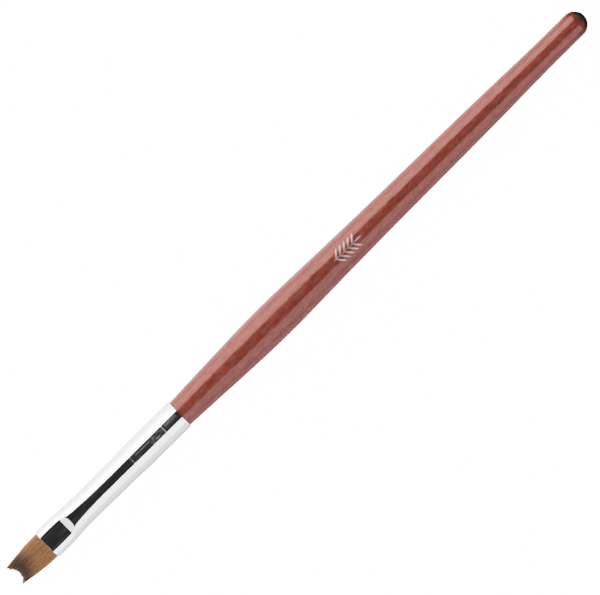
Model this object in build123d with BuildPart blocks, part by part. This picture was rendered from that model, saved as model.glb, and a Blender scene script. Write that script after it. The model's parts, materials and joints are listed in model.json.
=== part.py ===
"""A flat acrylic nail brush with a crescent-cut tuft, a pressed ferrule and a turned wooden handle.

X is the brush's axis. The origin is the centre of the ferrule's mouth, where the hair comes out:
the tuft runs towards -X and the handle towards +X. Z is up, square to the flat faces of the tuft,
and Y runs across its width. Units are millimetres.
"""

from build123d import *

import os
from math import cos, exp, log, pi, radians, sin, tan

# Lengths along the brush
FERRULE_LENGTH = 41.9
HANDLE_LENGTH = 127.7  # what shows beyond the ferrule
HANDLE_END = FERRULE_LENGTH + HANDLE_LENGTH
TUFT_LENGTH = 10.7  # mouth to the tips of the two horns

# Ferrule: one drawn metal tube, round at the handle and pressed flat at the mouth
WALL = 0.28
MOUTH_RADIUS = 3.40  # of the round tube, before it was pressed
TUBE_TAPER = 0.0092  # growth in radius for each mm away from the mouth
FLARE, FLARE_MIDDLE, FLARE_SOFTNESS = 0.50, 6.9, 1.4  # the width gained by pressing
FLARE_FADE = 8.0  # the last of that width is gone over this length before SAG_END
PINCH, PINCH_LENGTH = 0.08, 0.8  # the mouth is drawn in a little
BARREL_RADIUS = 3.75  # where the tenon has stretched the tube
STRETCH_START, STRETCH_END = 26.6, 27.3
TUBE_OVERLAP = 0.08  # how deep the barrel's first edge lies inside the tube's wall

# The press that flattens the mouth: two parallel flats, then a ramp up to the round tube
PRESS_HALF_HEIGHT = 2.30
PRESS_LENGTH = 6.0
RAMP_SLOPE = 0.60
RAMP_SOFTNESS = 0.10
FLAT_SOFTNESS = 0.05
SHOULDER_OVER_PRESS = 0.25  # how far the unpressed oval would stand above the flats
SAG_DEPTH = 0.20  # the tube's top sinks this far beside the ramp
SAG_START, SAG_END = 8.0, 22.0
PRESSED_POWER = 2.6  # of the section's outline, where 2 is a plain ellipse

# Crimp rings that lock the ferrule to the tenon
CRIMPS = (33.4, 36.8)
CRIMP_HALF_WIDTH = 0.22
CRIMP_DEPTH = 0.05

# Handle, with its stations measured from the ferrule's end
TENON_START = 27.5
TENON_RADIUS = 3.40
TENON_CHAMFER = 0.5
NECK_RADIUS, NECK_SLOPE = 3.46, 0.046
RISE_AT, RISE_RADIUS = 14.0, 4.07
BELLY_AT, BELLY_RADIUS = 29.6, 4.53
FALL_AT, FALL_RADIUS = 46.0, 4.20
MIDDLE_AT, MIDDLE_RADIUS = 81.0, 3.66
LATE_AT, LATE_RADIUS = 101.6, 3.38
TAIL_RADIUS = 3.08
TAIL_STRAIGHT = 6.5
DOME_LENGTH = 3.2
DOME_START = HANDLE_END - DOME_LENGTH
TAIL_START = DOME_START - TAIL_STRAIGHT

# Hair: flat and free outside the mouth, tied into a round bundle at its root
HAIR_CLEARANCE = 0.04
HAIR_NARROWING, NARROWING_POWER = 1.15, 2.2
TIP_THINNING, THINNING_POWER = 0.77, 1.3
NOTCH_DEPTH, NOTCH_RADIUS = 1.7, 2.54
ROOT_RADIUS = 2.60
ROOT_ROUND_FROM = 9.2
ROOT_END = 13.0

# The tuft bends at two lines across it, where a blunt V leaves room for the bend
HEEL_BEND_AT, HEEL_BEND_DEG = 2.0, 14.0
BELLY_BEND_AT, BELLY_BEND_DEG = 5.4, 17.0
BEND_SPARE_DEG = 2.0
BEND_GAP = 0.05

# Tie thread, resin plug and glue film
THREAD_RADIUS = 0.14
THREAD_PITCH = 0.31
THREAD_TURNS = 4.5
THREAD_START = 10.6
THREAD_SPARE = 0.012
RESIN_START, RESIN_END = 9.4, 16.0
RESIN_DISH_RADIUS, RESIN_DISH_DEPTH = 9.0, 0.4
BOND_GAP = 0.01
GLUE_START, GLUE_END = 28.2, 41.7

# Silver foil ornament: a plain leafy sprig lying along the handle
FOIL_THICKNESS, FOIL_GAP = 0.03, 0.005
SPRIG_START, SPRIG_LENGTH = 90.6, 6.2
STEM_WIDTH = 0.12
LEAF_PAIRS = 5
LEAF_LENGTH, LEAF_WIDTH, LEAF_ANGLE = 2.5, 0.40, 48.0

SECTION_POINTS = 40


def smooth(t):
    """A step from 0 to 1 that starts and ends level."""
    t = min(max(t, 0.0), 1.0)
    return t * t * (3 - 2 * t)


def soft_min(a, b, softness):
    """The smaller of two values, with the corner between them rounded."""
    low = min(a, b)
    return low - softness * log(exp((low - a) / softness) + exp((low - b) / softness))


def tube_radius(x):
    return MOUTH_RADIUS + TUBE_TAPER * x


def press_height(x):
    """Half the gap between the press faces at x: level, then a ramp."""
    past = (x - PRESS_LENGTH) / RAMP_SOFTNESS
    rise = past if past > 30 else log(1 + exp(past))
    return PRESS_HALF_HEIGHT + RAMP_SLOPE * RAMP_SOFTNESS * rise


def sag(x):
    """1 beside the ramp, falling to 0 where the tube is truly round."""
    return min(max((SAG_END - x) / (SAG_END - SAG_START), 0.0), 1.0) ** 3


def outline(half_width, half_height, ceiling, power):
    """Points round a closed oval whose top and bottom are pressed to a ceiling."""
    points = []
    for i in range(SECTION_POINTS):
        across = cos(2 * pi * i / SECTION_POINTS)
        up = sin(2 * pi * i / SECTION_POINTS)
        y = half_width * abs(across) ** (2 / power)
        z = soft_min(half_height * abs(up), ceiling, FLAT_SOFTNESS)
        points.append((y if across > 0 else -y, z if up > 0 else -z))
    return points


def ferrule_outline(x, inset):
    """The ferrule's section at x, drawn in by inset."""
    flare = FLARE / (1 + exp((x - FLARE_MIDDLE) / FLARE_SOFTNESS)) * smooth((SAG_END - x) / FLARE_FADE)
    half_width = tube_radius(x) + flare - PINCH * exp(-x / PINCH_LENGTH)
    ceiling = press_height(x)
    half_height = min(tube_radius(x) - SAG_DEPTH * sag(x), ceiling + SHOULDER_OVER_PRESS)
    power = 2 + (PRESSED_POWER - 2) * sag(x)
    return outline(half_width - inset, half_height - inset, ceiling - inset, power)


def hair_outline(x):
    """The hair's section at x."""
    mouth_width = MOUTH_RADIUS + FLARE - PINCH - WALL - HAIR_CLEARANCE
    mouth_height = PRESS_HALF_HEIGHT - WALL - HAIR_CLEARANCE
    if x < 0:
        out = -x / TUFT_LENGTH
        gathered = 0.0
        half_width = mouth_width - HAIR_NARROWING * out**NARROWING_POWER
        half_height = mouth_height * (1 - TIP_THINNING * out**THINNING_POWER)
    else:
        gathered = smooth((x - PRESS_LENGTH) / (ROOT_ROUND_FROM - PRESS_LENGTH))
        half_width = mouth_width + (ROOT_RADIUS - mouth_width) * smooth(x / ROOT_ROUND_FROM)
        half_height = mouth_height + (ROOT_RADIUS - mouth_height) * gathered
    crown = half_height * (1 + SHOULDER_OVER_PRESS / PRESS_HALF_HEIGHT * (1 - gathered))
    ceiling = half_height * (1 + gathered)
    power = PRESSED_POWER + (2 - PRESSED_POWER) * gathered
    return outline(half_width, crown, ceiling, power)


def loft_sections(stations, section, ruled=False):
    """Lofts a skin through the closed section at each station along X."""
    sections = []
    for x in stations:
        with BuildSketch(Plane(origin=(x, 0, 0), x_dir=(0, 1, 0), z_dir=(1, 0, 0))) as station:
            with BuildLine():
                Spline(*section(x), periodic=True)
            make_face()
        sections.append(station.sketch)
    loft(sections, ruled=ruled)


def crimped_line(radius, start, end):
    """A line along the barrel at one radius, with a shallow dip at each crimp ring."""
    for middle in CRIMPS:
        dip_start = (middle - CRIMP_HALF_WIDTH, radius)
        dip_end = (middle + CRIMP_HALF_WIDTH, radius)
        Line((start, radius), dip_start)
        ThreePointArc(dip_start, (middle, radius - CRIMP_DEPTH), dip_end)
        start = dip_end[0]
    Line((start, radius), (end, radius))


def handle_curve(raised):
    """The handle's long curve from the ferrule to the straight tail, raised a little all along."""

    def station(distance, radius):
        return (FERRULE_LENGTH + distance, radius + raised)

    belly = station(BELLY_AT, BELLY_RADIUS)
    neck_direction = (1, NECK_SLOPE)
    Spline(station(0, NECK_RADIUS), station(RISE_AT, RISE_RADIUS), belly, tangents=(neck_direction, (1, 0)))
    Spline(
        belly,
        station(FALL_AT, FALL_RADIUS),
        station(MIDDLE_AT, MIDDLE_RADIUS),
        station(LATE_AT, LATE_RADIUS),
        (TAIL_START, TAIL_RADIUS + raised),
        tangents=((1, 0), (1, 0)),
    )


def bend_relief(at, bend_deg):
    """Cuts a blunt V into the hair at a bend line, so that the tuft can bend either way."""
    reach = 2 * PRESS_HALF_HEIGHT
    lean = reach * tan(radians(bend_deg + BEND_SPARE_DEG))
    tip = -at - BEND_GAP
    with BuildSketch(Plane.XZ) as vee:
        with BuildLine():
            Polyline((tip, 0), (tip - lean, reach), (0, reach), (0, -reach), (tip - lean, -reach), (tip, 0))
        make_face()
    extrude(vee.sketch, amount=2 * MOUTH_RADIUS, both=True, mode=Mode.SUBTRACT)


# Stations for the ferrule's loft, closest together where its section changes fastest
RAMP_STATIONS = [PRESS_LENGTH - 0.3 + 0.15 * i for i in range(19)]
FERRULE_STATIONS = [0, 0.5, 1.2, 2.2, 3.6, 4.8, *RAMP_STATIONS, 8.6, 9.2, 10, 11, 12.5, 14, 16, 18, 20]
FERRULE_STATIONS += [SAG_END, 24.5, STRETCH_END - TUBE_OVERLAP]

with BuildPart() as pressed_bore:
    loft_sections(FERRULE_STATIONS, lambda x: ferrule_outline(x, WALL))

with BuildPart() as ferrule:
    loft_sections(FERRULE_STATIONS, lambda x: ferrule_outline(x, 0))
    add(pressed_bore.part, mode=Mode.SUBTRACT)
    with BuildSketch(Plane.XY):
        with BuildLine():
            first_edge = tube_radius(STRETCH_START) - TUBE_OVERLAP
            bore_radius = BARREL_RADIUS - WALL
            Line((STRETCH_START, first_edge), (STRETCH_END, BARREL_RADIUS))
            crimped_line(BARREL_RADIUS, STRETCH_END, FERRULE_LENGTH)
            Line((FERRULE_LENGTH, BARREL_RADIUS), (FERRULE_LENGTH, bore_radius))
            crimped_line(bore_radius, STRETCH_START, FERRULE_LENGTH)
            Line((STRETCH_START, bore_radius), (STRETCH_START, first_edge))
        make_face()
    revolve(axis=Axis.X)
ferrule.part.label = "ferrule"

with BuildPart() as handle:
    with BuildSketch(Plane.XY):
        with BuildLine():
            chamfer_start = (TENON_START, TENON_RADIUS - TENON_CHAMFER)
            chamfer_end = (TENON_START + TENON_CHAMFER, TENON_RADIUS)
            Polyline((TENON_START, 0), chamfer_start, chamfer_end)
            crimped_line(TENON_RADIUS, chamfer_end[0], FERRULE_LENGTH)
            Line((FERRULE_LENGTH, TENON_RADIUS), (FERRULE_LENGTH, NECK_RADIUS))
            handle_curve(0)
            Line((TAIL_START, TAIL_RADIUS), (DOME_START, TAIL_RADIUS))
            EllipticalCenterArc((DOME_START, 0), DOME_LENGTH, TAIL_RADIUS, arc_size=90)
            Line((HANDLE_END, 0), (TENON_START, 0))
        make_face()
    revolve(axis=Axis.X)
handle.part.label = "handle"

with BuildPart() as tenon_glue:
    with BuildSketch(Plane.XY):
        inner = TENON_RADIUS + BOND_GAP
        outer = BARREL_RADIUS - WALL - BOND_GAP
        with BuildLine():
            crimped_line(inner, GLUE_START, GLUE_END)
            crimped_line(outer, GLUE_START, GLUE_END)
            Line((GLUE_START, inner), (GLUE_START, outer))
            Line((GLUE_END, inner), (GLUE_END, outer))
        make_face()
    revolve(axis=Axis.X)
tenon_glue.part.label = "tenon_glue"

with BuildPart() as hair_heel:
    gather_stations = [0, 1.5, 3, 4.5, PRESS_LENGTH, 6.4, 7.1, 7.8, 8.5, ROOT_ROUND_FROM]
    loft_sections([-HEEL_BEND_AT, *gather_stations, ROOT_END], hair_outline, ruled=True)
hair_heel.part.label = "hair_heel"

with BuildPart() as hair_belly:
    loft_sections([-BELLY_BEND_AT, -4.6, -3.8, -3.0, -HEEL_BEND_AT], hair_outline, ruled=True)
    bend_relief(HEEL_BEND_AT, HEEL_BEND_DEG)
hair_belly.part.label = "hair_belly"

with BuildPart() as hair_toe:
    loft_sections([-TUFT_LENGTH, -9, -8, -7, -6.2, -BELLY_BEND_AT], hair_outline, ruled=True)
    bend_relief(BELLY_BEND_AT, BELLY_BEND_DEG)
    notch_centre = -TUFT_LENGTH + NOTCH_DEPTH - NOTCH_RADIUS
    with BuildSketch(Plane.XY):
        with Locations((notch_centre, 0)):
            Circle(NOTCH_RADIUS)
    extrude(amount=PRESS_HALF_HEIGHT, both=True, mode=Mode.SUBTRACT)
hair_toe.part.label = "hair_toe"

thread_line_radius = ROOT_RADIUS + THREAD_SPARE + THREAD_RADIUS
thread_length = THREAD_PITCH * THREAD_TURNS
with BuildPart() as tie_thread:
    with BuildLine() as turns:
        Helix(THREAD_PITCH, thread_length, thread_line_radius, center=(THREAD_START, 0, 0), direction=(1, 0, 0))
    with BuildSketch(Plane(origin=turns.line @ 0, z_dir=turns.line % 0)):
        Circle(THREAD_RADIUS)
    sweep(is_frenet=True)
tie_thread.part.label = "tie_thread"

with BuildPart() as root_resin:
    loft_sections([RESIN_START, 10, 11, 12.5, 14, RESIN_END], lambda x: ferrule_outline(x, WALL + BOND_GAP))
    with BuildSketch(Plane.YZ.offset(RESIN_START)):
        Circle(ROOT_RADIUS + BOND_GAP)
    extrude(amount=ROOT_END + BOND_GAP - RESIN_START, mode=Mode.SUBTRACT)
    groove_margin = THREAD_RADIUS + THREAD_SPARE
    with BuildSketch(Plane.YZ.offset(THREAD_START - groove_margin)):
        Circle(thread_line_radius + groove_margin)
    extrude(amount=thread_length + 2 * groove_margin, mode=Mode.SUBTRACT)
    with Locations((RESIN_END - RESIN_DISH_DEPTH + RESIN_DISH_RADIUS, 0, 0)):
        Sphere(RESIN_DISH_RADIUS, mode=Mode.SUBTRACT)
root_resin.part.label = "root_resin"

with BuildSketch(Plane.XY) as leaf:
    with BuildLine():
        leaf_tip = (LEAF_LENGTH, 0)
        ThreePointArc((0, 0), (LEAF_LENGTH / 2, LEAF_WIDTH / 2), leaf_tip)
        ThreePointArc((0, 0), (LEAF_LENGTH / 2, -LEAF_WIDTH / 2), leaf_tip)
    make_face()

with BuildPart() as foil_ornament:
    with BuildSketch(Plane.XY):
        with Locations((SPRIG_START + SPRIG_LENGTH / 2, 0)):
            Rectangle(SPRIG_LENGTH, STEM_WIDTH)
        for pair in range(LEAF_PAIRS):
            joint_at = SPRIG_START + SPRIG_LENGTH * (pair + 0.5) / LEAF_PAIRS
            with Locations(Location((joint_at, 0), LEAF_ANGLE), Location((joint_at, 0), -LEAF_ANGLE)):
                add(leaf.sketch)
        with Locations((SPRIG_START + SPRIG_LENGTH - STEM_WIDTH, 0)):
            add(leaf.sketch)
    extrude(amount=2 * BELLY_RADIUS)
    with BuildSketch(Plane.XY):
        foil_top = FOIL_GAP + FOIL_THICKNESS
        with BuildLine():
            handle_curve(FOIL_GAP)
            handle_curve(foil_top)
            Line((FERRULE_LENGTH, NECK_RADIUS + FOIL_GAP), (FERRULE_LENGTH, NECK_RADIUS + foil_top))
            Line((TAIL_START, TAIL_RADIUS + FOIL_GAP), (TAIL_START, TAIL_RADIUS + foil_top))
        make_face()
    revolve(axis=Axis.X, mode=Mode.INTERSECT)
foil_ornament.part.label = "foil_ornament"

os.makedirs("parts", exist_ok=True)
PIECES = (ferrule, handle, tenon_glue, hair_heel, hair_belly, hair_toe, tie_thread, root_resin, foil_ornament)
for piece in PIECES:
    export_step(piece.part, f"parts/{piece.part.label}.step")
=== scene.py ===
"""Looks for a flat acrylic nail brush: hair, polished ferrule, lacquered handle, studio and camera.

The frame is the CAD model's: +X from the ferrule's mouth to the tail, +Z square to the tuft's flat faces.
Blender works in metres. Sizes in this script are millimetres, and MM turns them into metres.
"""

import json
from math import pi, radians

import bpy
import numpy as np
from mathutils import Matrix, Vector


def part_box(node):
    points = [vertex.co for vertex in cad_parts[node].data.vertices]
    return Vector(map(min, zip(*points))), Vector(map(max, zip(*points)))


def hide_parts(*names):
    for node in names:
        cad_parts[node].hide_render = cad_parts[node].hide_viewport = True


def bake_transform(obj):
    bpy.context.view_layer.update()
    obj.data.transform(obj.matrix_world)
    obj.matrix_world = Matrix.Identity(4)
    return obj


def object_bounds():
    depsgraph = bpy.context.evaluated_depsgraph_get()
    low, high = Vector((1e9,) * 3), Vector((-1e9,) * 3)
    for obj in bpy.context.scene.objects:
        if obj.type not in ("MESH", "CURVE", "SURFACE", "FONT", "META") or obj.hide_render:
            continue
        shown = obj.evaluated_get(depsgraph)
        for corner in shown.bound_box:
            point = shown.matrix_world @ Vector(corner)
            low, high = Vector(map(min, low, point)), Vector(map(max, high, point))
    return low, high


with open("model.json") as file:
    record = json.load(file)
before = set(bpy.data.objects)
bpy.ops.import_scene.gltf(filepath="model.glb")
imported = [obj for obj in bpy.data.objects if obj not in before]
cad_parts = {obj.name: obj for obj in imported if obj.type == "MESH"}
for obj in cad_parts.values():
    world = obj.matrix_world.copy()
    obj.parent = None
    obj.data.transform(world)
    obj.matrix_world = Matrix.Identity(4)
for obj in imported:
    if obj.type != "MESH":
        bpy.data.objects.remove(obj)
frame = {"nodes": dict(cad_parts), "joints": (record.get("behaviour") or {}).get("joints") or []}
cad_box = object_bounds()

MM = 0.001
TAIL = cad_box[1].x / MM
rng = np.random.default_rng(7)


# ---------------------------------------------------------------- node helpers


class Nodes:
    """A thin layer over a node tree, so that a shader reads as a list of short steps."""

    def __init__(self, tree):
        self.tree = tree
        tree.nodes.clear()

    def add(self, kind, inputs=(), **settings):
        node = self.tree.nodes.new(kind)
        for name, value in settings.items():
            setattr(node, name, value)
        for key, value in dict(inputs).items():
            self.feed(node.inputs[key], value)
        return node

    def feed(self, socket, value):
        if isinstance(value, bpy.types.NodeSocket):
            self.tree.links.new(value, socket)
        elif isinstance(value, tuple) and socket.type == "RGBA":
            socket.default_value = (*value[:3], 1.0)
        else:
            socket.default_value = value

    def math(self, operation, a, b=0.0):
        return self.add("ShaderNodeMath", {0: a, 1: b}, operation=operation).outputs[0]

    def times(self, first, *others):
        for other in others:
            first = self.math("MULTIPLY", first, other)
        return first

    def smoothstep(self, value, low, high):
        """0 at low, 1 at high, with a smooth step between. It falls when high is below low."""
        inputs = {"Value": value, "From Min": low, "From Max": high}
        return self.add("ShaderNodeMapRange", inputs, interpolation_type="SMOOTHSTEP").outputs["Result"]

    def window(self, value, low, high, edge):
        """1 between low and high, with a smooth edge on either side."""
        return self.times(self.smoothstep(value, low, low + edge), self.smoothstep(value, high, high - edge))

    def mix(self, share, a, b):
        """A colour between a and b."""
        return self.add("ShaderNodeMix", {0: share, 6: a, 7: b}, data_type="RGBA").outputs[2]

    def blend(self, share, a, b):
        """A number between a and b."""
        return self.add("ShaderNodeMix", {0: share, 2: a, 3: b}, data_type="FLOAT").outputs[0]

    def place(self, stretch=(1, 1, 1)):
        """The point's place in the frame, in millimetres, stretched along each axis."""
        point = self.add("ShaderNodeTexCoord").outputs["Object"]
        scale = tuple(s / MM for s in stretch)
        return self.add("ShaderNodeMapping", {"Vector": point, "Scale": scale}).outputs[0]

    def split(self, vector):
        return self.add("ShaderNodeSeparateXYZ", {0: vector}).outputs

    def noise(self, vector, scale, detail=2.0, roughness=0.5):
        inputs = {"Vector": vector, "Scale": scale, "Detail": detail, "Roughness": roughness}
        return self.add("ShaderNodeTexNoise", inputs).outputs["Fac"]

    def attribute(self, name):
        return self.add("ShaderNodeAttribute", attribute_name=name).outputs["Fac"]

    def camera_ray(self):
        return self.add("ShaderNodeLightPath").outputs["Is Camera Ray"]

    def bevel(self, radius):
        """A normal that rounds the sharp edges nearby."""
        return self.add("ShaderNodeBevel", {"Radius": radius * MM}, samples=4).outputs[0]

    def bump(self, height, depth, normal=None):
        """A relief whose full height is depth, in millimetres."""
        inputs = {"Height": height, "Distance": depth * MM}
        if normal is not None:
            inputs["Normal"] = normal
        return self.add("ShaderNodeBump", inputs).outputs[0]

    def output(self, shader):
        self.add("ShaderNodeOutputMaterial", {"Surface": shader})

    def principled(self, inputs):
        return self.add("ShaderNodeBsdfPrincipled", inputs).outputs[0]


def new_material(name):
    material = bpy.data.materials.new(name)
    material.use_nodes = True
    return material, Nodes(material.node_tree)


# ---------------------------------------------------------------- materials


def lacquered_wood():
    """Red-brown stained hardwood with fibres, blotches and pores, under clear gloss lacquer, with painted
    shade darkening it towards the tail's end.
    """
    material, n = new_material("lacquered_wood")
    x = n.split(n.place())[0]
    fibres = n.noise(n.place((0.16, 1, 1)), 2.2, detail=5.0, roughness=0.65)
    fine = n.noise(n.place((0.30, 1, 1)), 5.0, detail=3.0)
    grain = n.blend(0.45, fibres, fine)
    blotches = n.noise(n.place((0.45, 1, 1)), 0.9, detail=4.0, roughness=0.6)
    pores = n.noise(n.place((0.45, 1, 1)), 2.6, detail=3.0)
    colour = n.mix(n.smoothstep(grain, 0.36, 0.62), (0.175, 0.0300, 0.0200), (0.258, 0.0540, 0.0360))
    colour = n.mix(n.times(n.smoothstep(blotches, 0.48, 0.66), 0.50), colour, (0.265, 0.0780, 0.0420))
    colour = n.mix(n.times(n.smoothstep(blotches, 0.45, 0.32), 0.55), colour, (0.145, 0.0230, 0.0180))
    colour = n.mix(n.times(n.smoothstep(pores, 0.56, 0.68), 0.35), colour, (0.080, 0.016, 0.010))
    # Painted shade: the wood darkens to near black towards the tail's end, which faces the dark end of the
    # studio.
    tail_painted_shade = n.smoothstep(x, TAIL - 4.5, TAIL - 1.5)
    tail_end_painted_shade = n.smoothstep(x, TAIL - 2.2, TAIL - 1.0)
    colour = n.mix(n.times(tail_painted_shade, 0.35), colour, (0.090, 0.016, 0.012))
    colour = n.mix(tail_end_painted_shade, colour, (0.036, 0.016, 0.014))
    swell = n.noise(n.place((0.10, 0.5, 0.5)), 1.3, detail=3.0)
    lacquer = n.bump(swell, 0.035, n.bevel(0.05))
    n.output(
        n.principled(
            {
                "Base Color": colour,
                "Metallic": 0.20,
                "Specular IOR Level": 0.0,
                "Roughness": n.blend(grain, 0.28, 0.42),
                "Normal": n.bump(grain, 0.010, lacquer),
                "Coat Weight": 1.0,
                "Coat Roughness": 0.09,
                "Coat IOR": 1.45,
                "Coat Normal": lacquer,
            }
        )
    )
    return material


CRIMPS = (33.4, 36.8)  # where the ferrule's two crimp rings lie along it
CRIMP_REACH = 0.5  # how far to either side of a ring the light on it is tilted


def polished_metal():
    """Nickel-plated tube: a mirror, hazed by drawing lines along it, with painted reflections: hazy streaks
    on top of the barrel that catch the softboxes, standing in for light that the barrel's slight curves
    reflect.
    """
    material, n = new_material("polished_ferrule")
    x, y, z = n.split(n.place())
    lines = n.noise(n.place((0.03, 1, 1)), 5.0, detail=4.0, roughness=0.6)
    haze_noise = n.noise(n.place((0.25, 1.2, 1.2)), 1.6, detail=3.0)
    crimp_streak_noise = n.noise(n.place((0.8, 1.6, 1.6)), 1.6, detail=3.0, roughness=0.7)
    on_top = n.smoothstep(z, 2.0, 3.2)
    streak_breakup = n.blend(n.smoothstep(haze_noise, 0.42, 0.62), 0.55, 1.0)
    # Painted reflections: hazy streaks on top of the barrel, beside and between the crimp rings, stand in for
    # light that the barrel's slight curves reflect.
    tail_reflection_streak = n.times(n.window(x, 37.4, 41.3, 0.4), n.window(y, 0.0, 0.85, 0.30), 0.155)
    middle_reflection_streak = n.times(n.window(x, 28.2, 33.0, 0.5), n.window(y, 0.18, 0.62, 0.18), 0.150)
    wide_reflection_haze = n.times(n.window(x, 27.6, 41.0, 1.5), n.window(y, -0.9, 1.3, 0.5), 0.018)
    crimp_reflection_streak = n.times(n.window(x, 32.6, 37.0, 0.6), n.smoothstep(crimp_streak_noise, 0.50, 0.58), 0.160)
    painted_reflections = n.math("ADD", n.math("ADD", tail_reflection_streak, middle_reflection_streak), n.math("ADD", wide_reflection_haze, crimp_reflection_streak))
    painted_reflections_on_top = n.times(painted_reflections, streak_breakup, on_top)
    drawn = n.times(n.smoothstep(lines, 0.48, 0.66), 0.045)
    first_crimp, second_crimp = (n.window(x, at - CRIMP_REACH, at + CRIMP_REACH, 0.2) for at in CRIMPS)
    steeper = n.math("ADD", n.times(first_crimp, -0.28), n.times(second_crimp, 0.30))
    lean = n.add("ShaderNodeCombineXYZ", {0: n.math("ADD", steeper, 1.0), 1: 1.0, 2: 1.0}).outputs[0]
    crimped = n.add("ShaderNodeVectorMath", {0: n.bevel(0.05), 1: lean}, operation="MULTIPLY").outputs[0]
    crimped = n.add("ShaderNodeVectorMath", {0: crimped}, operation="NORMALIZE").outputs[0]
    mirror_inputs = {
        "Base Color": (0.93, 0.93, 0.935),
        "Metallic": 1.0,
        "Roughness": n.blend(haze_noise, 0.03, 0.08),
        "Normal": n.bump(lines, 0.0006, crimped),
    }
    haze_inputs = {"Base Color": (0.85, 0.85, 0.86), "Metallic": 1.0, "Roughness": 0.6}
    mirror, haze = n.principled(mirror_inputs), n.principled(haze_inputs)
    # The haze is the painted reflections plus the drawing lines.
    hazed = n.math("ADD", painted_reflections_on_top, drawn)
    n.output(n.add("ShaderNodeMixShader", {0: hazed, 1: mirror, 2: haze}).outputs[0])
    return material


def hair_material():
    """Golden-brown hair, dark towards the tip, with each hair its own shade."""
    material, n = new_material("brush_hair")
    shade, dark, tip = n.attribute("shade"), n.attribute("dark"), n.attribute("tip")
    gold = n.mix(shade, (0.190, 0.078, 0.028), (0.430, 0.200, 0.080))
    brown = n.mix(shade, (0.036, 0.018, 0.012), (0.098, 0.052, 0.033))
    colour = n.mix(tip, n.mix(dark, gold, brown), (0.250, 0.106, 0.056))
    scales = n.noise(n.place((1, 4, 4)), 6.0, detail=1.0)
    n.output(
        n.principled(
            {
                "Base Color": colour,
                "Roughness": n.blend(scales, 0.40, 0.58),
                "Specular IOR Level": 0.22,
                "Normal": n.bump(scales, 0.003),
            }
        )
    )
    return material


def silver_foil():
    """Hot-stamped foil, slightly crazed."""
    material, n = new_material("silver_foil")
    crackle = n.noise(n.place(), 8.0, detail=3.0)
    n.output(
        n.principled(
            {
                "Base Color": n.mix(crackle, (0.42, 0.36, 0.36), (0.62, 0.57, 0.57)),
                "Metallic": 0.5,
                "Roughness": n.blend(crackle, 0.35, 0.55),
                "Normal": n.bump(crackle, 0.004),
            }
        )
    )
    return material


def set_resin(name, colour, roughness):
    """Clear set resin with a little cloud in it."""
    material, n = new_material(name)
    cloud = n.noise(n.place(), 1.2, detail=3.0)
    darker = tuple(0.75 * c for c in colour)
    n.output(
        n.principled(
            {
                "Base Color": n.mix(cloud, darker, colour),
                "Roughness": n.blend(cloud, roughness, roughness + 0.15),
                "Transmission Weight": 0.3,
                "IOR": 1.52,
                "Normal": n.bump(cloud, 0.015),
            }
        )
    )
    return material


def waxed_thread():
    """Twisted linen thread."""
    material, n = new_material("waxed_thread")
    twist_inputs = {"Vector": n.place(), "Scale": 2.4, "Distortion": 1.5, "Detail": 2.0}
    twist = n.add("ShaderNodeTexWave", twist_inputs, bands_direction="DIAGONAL").outputs["Fac"]
    n.output(
        n.principled(
            {
                "Base Color": n.mix(twist, (0.42, 0.35, 0.25), (0.70, 0.64, 0.52)),
                "Roughness": 0.7,
                "Normal": n.bump(twist, 0.02),
            }
        )
    )
    return material


def dress(node, material):
    """Gives a CAD node its material."""
    slots = frame["nodes"][node].data.materials
    slots.clear()
    slots.append(material)


dress("handle", lacquered_wood())
dress("ferrule", polished_metal())
dress("foil_ornament", silver_foil())
dress("root_resin", set_resin("root_resin", (0.55, 0.33, 0.10), 0.15))
dress("tenon_glue", set_resin("tenon_glue", (0.62, 0.52, 0.30), 0.30))
dress("tie_thread", waxed_thread())


# ---------------------------------------------------------------- hair: the tuft's form

# A place in the tuft is "out", its distance from the mouth towards the tips (below 0 inside the
# ferrule), and u and v, its shares of the half width and of the half thickness there.

root_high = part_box("hair_heel")[1]
TUFT_LENGTH = -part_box("hair_toe")[0].x / MM
ROOT_END = root_high.x / MM
MOUTH_HALF_WIDTH = root_high.y / MM
MOUTH_HALF_THICKNESS = 1.98
ROOT_RADIUS = 2.58
GATHERED_FROM, GATHERED_TO = 6.0, 9.2  # inside the ferrule, from the flat mouth to the round root
NARROWING, NARROWING_POWER = 1.12, 1.4
BULGE = 0.16  # how far the hair spreads to either side
BULGE_START, BULGE_END = -1.0, 4.0  # the distances out between which it spreads
THINNING, THINNING_POWER = 0.77, 1.3
FLAT_POWER, ROUND_POWER = 2.6, 2.0  # of the section's outline
NOTCH_DEPTH, NOTCH_RADIUS, NOTCH_TILT = 1.8, 2.54, 0.04
NOTCH_SIDE = -0.26  # where the notch's middle lies across the tuft, a little to -Y
HEEL_BEND, TOE_BEND = (-joint["pos_m"][0] / MM for joint in frame["joints"])
SPLIT = (HEEL_BEND + TOE_BEND) / 2  # where the tuft's two pieces pass into each other
OVERLAP = 0.3
SEAM_SHARE, SEAM_SHOWS = 0.4, 0.97  # this far into the overlap a hair is still nearly whole
TIP_DRIFT = 0.16  # how far the tips have crept to +Y

STRANDS = 3600
STRAND_SIDES = 4
CLUMPS = 110
HIDDEN_ROOT = 1.0  # how far the loose hairs reach back into the ferrule
FRINGE_REACH = 0.48  # how far past the cut a hair could end
HORN_SHORT = 0.26  # no hair comes closer to the CAD tuft's end than this
RAGGED_MEAN, RAGGED_SPREAD, RAGGED_MOST = 0.60, 0.28, 1.4  # how much sooner each hair ends
DARK_START = 5.4  # where the hair turns dark, on the +Y side
DARK_BEFORE, DARK_AFTER = 2.3, 1.7  # the turn starts this much before and ends this much after
CORE_POINTS = 96
CORE_SCALE = 0.90
CORE_SHORT = 0.8  # how far behind the cut the core ends, which is past most hairs at the +Y horn


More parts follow.
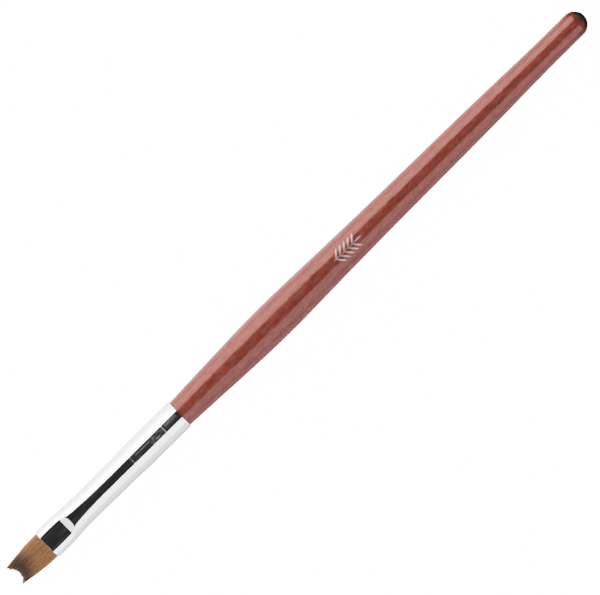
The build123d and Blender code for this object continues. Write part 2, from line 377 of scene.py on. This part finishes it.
def step(value, low, high):
    """A smooth step from 0 at low to 1 at high."""
    share = np.clip((np.asarray(value, float) - low) / (high - low), 0, 1)
    return share * share * (3 - 2 * share)


def half_width(out):
    """Half the tuft's width at a distance out."""
    open_end = NARROWING * np.clip(out / TUFT_LENGTH, 0, None) ** NARROWING_POWER
    bulge = BULGE * step(out, BULGE_START, BULGE_END)
    return MOUTH_HALF_WIDTH + bulge - open_end + (ROOT_RADIUS - MOUTH_HALF_WIDTH) * step(-out, 0, GATHERED_TO)


def half_thickness(out):
    """Half the tuft's thickness at a distance out."""
    open_end = MOUTH_HALF_THICKNESS * THINNING * np.clip(out / TUFT_LENGTH, 0, None) ** THINNING_POWER
    gathered = (ROOT_RADIUS - MOUTH_HALF_THICKNESS) * step(-out, GATHERED_FROM, GATHERED_TO)
    return MOUTH_HALF_THICKNESS - open_end + gathered


def cut_length(across):
    """How far out the crescent cut lies, this far across from the centre line."""
    centre = TUFT_LENGTH - NOTCH_DEPTH + NOTCH_RADIUS
    from_notch = across - NOTCH_SIDE
    return centre + NOTCH_TILT * across - np.sqrt(np.clip(NOTCH_RADIUS**2 - from_notch**2, 0.3, None))


def darkness(out, y, streak):
    """0 for gold and 1 for dark brown. The dark end starts further out on the -Y side."""
    beyond = np.clip(-y, 0, None)
    start = DARK_START + 0.45 * beyond + 0.18 * beyond**1.5 + streak
    edge_gold = 0.75 * step(np.abs(y) / half_width(out), 0.84, 0.97)
    return step(out, start - DARK_BEFORE, start + DARK_AFTER) * (1 - edge_gold)


# ---------------------------------------------------------------- hair: single hairs


def scatter(count, skin_share):
    """Places in the tuft's unit section, with a share of them close to its skin."""
    u, v = rng.uniform(-1, 1, (2, count * 3))
    inside = np.abs(u) ** FLAT_POWER + v**2 < 1
    u, v = u[inside][:count], v[inside][:count]
    reach = np.sqrt(np.abs(u) ** FLAT_POWER + v**2)
    to_skin = rng.uniform(0.90, 1.0, count) / np.maximum(reach, 0.05)
    grow = np.where(rng.uniform(0, 1, count) < skin_share, to_skin, 1.0)
    v = np.clip(v * grow, -1, 1)
    limit = (1 - v**2) ** (1 / FLAT_POWER)
    return np.clip(u * grow, -limit, limit), v


class Strands:
    """Every loose hair: where it starts, where it leans to, how long, thick and dark it is."""

    def __init__(self):
        self.u, self.v = scatter(STRANDS, 0.72)
        clump_u, clump_v = scatter(CLUMPS, 0.8)
        distance = (self.u[:, None] - clump_u) ** 2 + (self.v[:, None] - clump_v) ** 2
        nearest = np.argmin(distance, axis=1)
        pull = rng.uniform(0.15, 0.55, STRANDS)
        self.tip_u = self.u + pull * (clump_u[nearest] - self.u)
        self.tip_v = self.v + pull * (clump_v[nearest] - self.v)
        cut = cut_length(self.tip_u * half_width(TUFT_LENGTH))
        ragged = np.clip(rng.normal(RAGGED_MEAN, RAGGED_SPREAD, STRANDS), 0, RAGGED_MOST)
        self.length = np.minimum(cut + FRINGE_REACH, TUFT_LENGTH - HORN_SHORT) - ragged
        self.wave_phase = rng.uniform(0, 2 * pi, (2, STRANDS))
        self.wave_size = rng.uniform(0.0, 0.045, (2, STRANDS))
        self.thickness = rng.uniform(0.032, 0.050, STRANDS)
        clump_shade = rng.normal(0, 0.08, CLUMPS)[nearest]
        self.shade = np.clip(0.5 + clump_shade + rng.normal(0, 0.20, STRANDS), 0, 1)
        self.streak = rng.normal(0, 0.25, CLUMPS)[nearest] + rng.normal(0, 0.60, STRANDS)

    def centre(self, out, sink):
        """Each hair's centre at its own distance out, drawn towards the axis by a share of sink."""
        share = np.clip(out / self.length, 0, 1)
        gather = share**2.2
        u = (self.u + (self.tip_u - self.u) * gather) * (1 - sink)
        v = (self.v + (self.tip_v - self.v) * gather) * (1 - sink)
        wave = self.wave_size * share * np.sin(self.wave_phase + 5 * share)
        y = u * half_width(out) + wave[0] + TIP_DRIFT * share**2
        return np.stack([-out, y, v * half_thickness(out) + 0.7 * wave[1]], axis=1)

    def tubes(self, stations):
        """Every hair as a closed, tapering tube. A station is (distances out, how far it shows)."""
        rings = len(stations)
        angle = 2 * pi * np.arange(STRAND_SIDES) / STRAND_SIDES
        around = np.stack([np.zeros(STRAND_SIDES), np.cos(angle), np.sin(angle)], axis=1)
        verts, values = [], {"dark": [], "tip": [], "shade": []}
        for out, shows in stations:
            out = np.broadcast_to(out, STRANDS)
            centre = self.centre(out, 0.025 * (1 - shows))
            to_tip = np.clip(out / self.length, 0, 1)
            radius = self.thickness * (1 - 0.78 * to_tip**3) * (0.15 + 0.85 * shows)
            verts.append(centre[:, None, :] + radius[:, None, None] * around)
            found = {
                "dark": darkness(out, centre[:, 1], self.streak),
                "tip": 0.85 * step(to_tip, 0.92, 1.0),
                "shade": self.shade,
            }
            for key, value in found.items():
                values[key].append(np.repeat(value[:, None], STRAND_SIDES, axis=1))
        first = np.arange(STRANDS)[:, None, None] * rings * STRAND_SIDES
        ring = np.arange(rings - 1)[None, :, None] * STRAND_SIDES
        side = np.arange(STRAND_SIDES)
        near, far = first + ring, first + ring + STRAND_SIDES
        after = (side + 1) % STRAND_SIDES
        walls = np.stack([near + side, far + side, far + after, near + after], axis=-1)
        start_caps = first[:, 0] + side
        end_caps = first[:, 0] + (rings - 1) * STRAND_SIDES + side[::-1]
        faces = np.concatenate([walls.reshape(-1, 4), start_caps, end_caps]).tolist()
        flat = {key: np.stack(value, axis=1).ravel() for key, value in values.items()}
        return np.stack(verts, axis=1).reshape(-1, 3), faces, flat


# ---------------------------------------------------------------- hair: the inner core


def core_form(rows):
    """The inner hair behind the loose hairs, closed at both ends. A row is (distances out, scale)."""
    angle = 2 * pi * np.arange(CORE_POINTS) / CORE_POINTS
    ripple = 1 + 0.012 * np.sin(angle * CORE_POINTS / 4)
    verts = []
    for out, scale in rows:
        out = out(core_u(angle)) if callable(out) else np.full(CORE_POINTS, out)
        power = FLAT_POWER + (ROUND_POWER - FLAT_POWER) * step(-out, GATHERED_FROM, GATHERED_TO)
        across = np.sign(np.cos(angle)) * np.abs(np.cos(angle)) ** (2 / power)
        y = scale * ripple * across * half_width(out)
        z = scale * ripple * np.sin(angle) * half_thickness(out)
        verts.append(np.stack([-out, y, z], axis=1))
    faces = []
    for row in range(len(rows) - 1):
        for i in range(CORE_POINTS):
            near, j = row * CORE_POINTS, (i + 1) % CORE_POINTS
            faces.append([near + i, near + CORE_POINTS + i, near + CORE_POINTS + j, near + j])
    faces += cap(0, False) + cap((len(rows) - 1) * CORE_POINTS, True)
    verts = np.concatenate(verts)
    dark = darkness(-verts[:, 0], verts[:, 1], 0.0)
    # Painted shade: the core's shade of 0.2, darker than most hairs, darkens the gaps between the loose
    # hairs.
    return verts, faces, {"dark": dark, "tip": np.zeros(len(verts)), "shade": np.full(len(verts), 0.2)}


def core_u(angle):
    """The core's share of the half width at an angle round its section."""
    return CORE_SCALE * np.sign(np.cos(angle)) * np.abs(np.cos(angle)) ** (2 / FLAT_POWER)


def cap(first, flipped):
    """Closes a ring with strips straight across it."""
    faces = []
    for i in range(CORE_POINTS // 2):
        corners = [i, i + 1, (CORE_POINTS - i - 1) % CORE_POINTS, (CORE_POINTS - i) % CORE_POINTS]
        face = [first + c for k, c in enumerate(corners) if c not in corners[:k]]
        faces.append(face[::-1] if flipped else face)
    return faces


def root_rows():
    """From the tied root, through the mouth, to just past the split."""
    rows = [(-x, 0.99) for x in np.linspace(ROOT_END, 1.5, 14)]
    rows += [(out, CORE_SCALE) for out in np.linspace(0, SPLIT, 6)]
    return rows + [(SPLIT + OVERLAP, 0.9 * CORE_SCALE)]


def tip_rows():
    """From just before the split to a little behind the cut."""
    rows = [(SPLIT - OVERLAP, 0.9 * CORE_SCALE)]
    for share in np.linspace(0, 1, 10):
        rows.append((lambda u, share=share: SPLIT + (core_end(u) - SPLIT) * share, CORE_SCALE))
    return rows


def core_end(u):
    """How far out the core reaches."""
    return cut_length(u * half_width(TUFT_LENGTH)) - CORE_SHORT


# ---------------------------------------------------------------- hair: the pieces


def join(*parts):
    """Several forms as one."""
    verts, faces, values = [], [], {"dark": [], "tip": [], "shade": []}
    for part_verts, part_faces, part_values in parts:
        base = sum(len(v) for v in verts)
        verts.append(part_verts)
        faces += [[corner + base for corner in face] for face in part_faces]
        for key, value in part_values.items():
            values[key].append(value)
    return np.concatenate(verts), faces, {key: np.concatenate(value) for key, value in values.items()}


def make_piece(name, form, material):
    """A mesh object in the hair's material slot, with its form's values as attributes."""
    verts, faces, values = form
    mesh = bpy.data.meshes.new(name)
    mesh.from_pydata((verts * MM).tolist(), [], faces)
    for key, value in values.items():
        mesh.attributes.new(key, "FLOAT", "POINT").data.foreach_set("value", value.astype(np.float32))
    mesh.validate()
    mesh.shade_smooth()
    mesh.materials.append(material)
    piece = bpy.data.objects.new(name, mesh)
    bpy.context.scene.collection.objects.link(piece)
    return piece


def bend_with(piece):
    """Bakes the piece's placement into its mesh."""
    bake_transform(piece)


strands = Strands()
hair = hair_material()
base_stations = [(out, 1.0) for out in np.linspace(-HIDDEN_ROOT, SPLIT, 7)]
base_seam = [(SPLIT + SEAM_SHARE * OVERLAP, SEAM_SHOWS), (SPLIT + OVERLAP, 0.0)]
base_tubes = strands.tubes([*base_stations, *base_seam])
tip_stations = [(SPLIT + (strands.length - SPLIT) * share, 1.0) for share in np.linspace(0, 1, 10)]
tip_seam = [(SPLIT - OVERLAP, 0.0), (SPLIT - SEAM_SHARE * OVERLAP, SEAM_SHOWS)]
tip_tubes = strands.tubes([*tip_seam, *tip_stations])
hair_base = make_piece("hair_base", join(base_tubes, core_form(root_rows())), hair)
hair_tip = make_piece("hair_tip", join(tip_tubes, core_form(tip_rows())), hair)
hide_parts("hair_heel", "hair_belly")
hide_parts("hair_toe")
bend_with(hair_base)
bend_with(hair_tip)


# ---------------------------------------------------------------- studio


def studio_world():
    """Two long softboxes either side of a dark gap overhead, and a card beyond either end.

    Two angles in degrees tell a direction: its lean from overhead to +Y, and how far along +X it points.
    """
    world = bpy.data.worlds.new("studio")
    bpy.context.scene.world = world
    world.use_nodes = True
    n = Nodes(world.node_tree)
    x, y, z = n.split(n.add("ShaderNodeTexCoord").outputs["Generated"])
    lean = n.times(n.math("ARCTAN2", y, z), 180 / pi)
    across = n.math("SQRT", n.math("ADD", n.times(y, y), n.times(z, z)))
    along = n.times(n.math("ARCTAN2", x, across), 180 / pi)
    left_box = n.times(n.smoothstep(lean, 31.0, 37.0), n.blend(n.smoothstep(lean, 68.0, 92.0), 4.3, 2.6))
    right_box = n.times(n.smoothstep(lean, -26.0, -30.0), n.blend(n.smoothstep(lean, -66.0, -92.0), 2.1, 1.0))
    boxes = n.times(n.math("ADD", left_box, right_box), n.smoothstep(along, 31.0, 24.0))
    head_card = n.times(n.smoothstep(along, -32.0, -38.0), 1.35)
    aside = n.smoothstep(n.math("ABSOLUTE", lean), 52.0, 68.0)
    tail_card = n.times(n.smoothstep(along, 31.0, 42.0), n.blend(aside, 0.16, 0.6))
    cards = n.math("MAXIMUM", head_card, tail_card)
    light = n.math("ADD", n.math("MAXIMUM", boxes, cards), 0.018)
    strength = n.blend(n.camera_ray(), light, 6.5)
    back = n.add("ShaderNodeBackground", {"Color": (1, 1, 1), "Strength": strength})
    n.add("ShaderNodeOutputWorld", {"Surface": back.outputs[0]})
    world.cycles.sampling_method = "MANUAL"
    world.cycles.sample_map_resolution = 1024


def pale_floor(height):
    """White paper under the brush. The lens sees it burnt out to white; the brush's sides see a painted glow,
    brighter to +Y, and beyond the tail painted shade, where the paper turns near black.
    """
    reach = 4.0
    corners = [(reach * i, reach * j, height) for i, j in ((-1, -1), (1, -1), (1, 1), (-1, 1))]
    mesh = bpy.data.meshes.new("floor")
    mesh.from_pydata(corners, [], [(0, 1, 2, 3)])
    floor = bpy.data.objects.new("floor", mesh)
    bpy.context.scene.collection.objects.link(floor)
    material, n = new_material("pale_floor")
    x, y = n.split(n.place())[:2]
    before_tail = n.smoothstep(x, TAIL + 2, TAIL - 6)
    paper = n.noise(n.place(), 0.8, detail=2.0)
    colour = n.mix(paper, (0.80, 0.80, 0.80), (0.84, 0.84, 0.84))
    # Painted shade: beyond the tail the paper turns near black, so the handle's end reflects dark.
    colour = n.mix(before_tail, (0.02, 0.02, 0.02), colour)
    diffuse = n.add("ShaderNodeBsdfDiffuse", {"Color": colour}).outputs[0]
    # Painted light: for all but camera rays the paper glows, strongly to +Y and faintly to -Y, standing in
    # for the softboxes' light falling on it.
    lit_side = n.blend(n.smoothstep(y, 1.5, 13.0), n.times(n.smoothstep(y, -4.0, -18.0), 0.15), 1.3)
    lit_side = n.times(lit_side, before_tail)
    glow = n.blend(n.camera_ray(), lit_side, 5.0)
    painted_glow = n.add("ShaderNodeEmission", {"Strength": glow}).outputs[0]
    n.output(n.add("ShaderNodeAddShader", {0: diffuse, 1: painted_glow}).outputs[0])
    mesh.materials.append(material)


def tone_curve():
    """A camera's soft shoulder: mid tones as they are, bright lights rolled off to white."""
    view = bpy.context.scene.view_settings
    view.view_transform = "Standard"
    view.look = "None"
    view.use_curve_mapping = True
    curves = view.curve_mapping
    white = 6.0
    curves.white_level = (white, white, white)
    shoulder = [(0.3, 0.3), (0.6, 0.54), (1.0, 0.68), (1.5, 0.78), (2.5, 0.89), (4.0, 0.97)]
    for level, shown in shoulder:
        curves.curves[3].points.new(level / white, shown)
    curves.update()


def photo_camera():
    """A long lens looking straight down, rolled so that the tail points to the upper right."""
    data = bpy.data.cameras.new("camera")
    camera = bpy.data.objects.new("camera", data)
    bpy.context.scene.collection.objects.link(camera)
    bpy.context.scene.camera = camera
    data.sensor_width, data.lens = 36.0, 240.0
    shown_width = 135.0
    target = Vector((79.5, -0.35, 0.0))
    distance = shown_width * data.lens / data.sensor_width
    camera.location = (target + Vector((0, 0, distance))) * MM
    camera.rotation_euler = (0, 0, radians(-44.6))
    data.clip_start, data.clip_end = 0.01, 20


studio_world()
pale_floor(cad_box[0].z - 0.02 * MM)
tone_curve()
photo_camera()
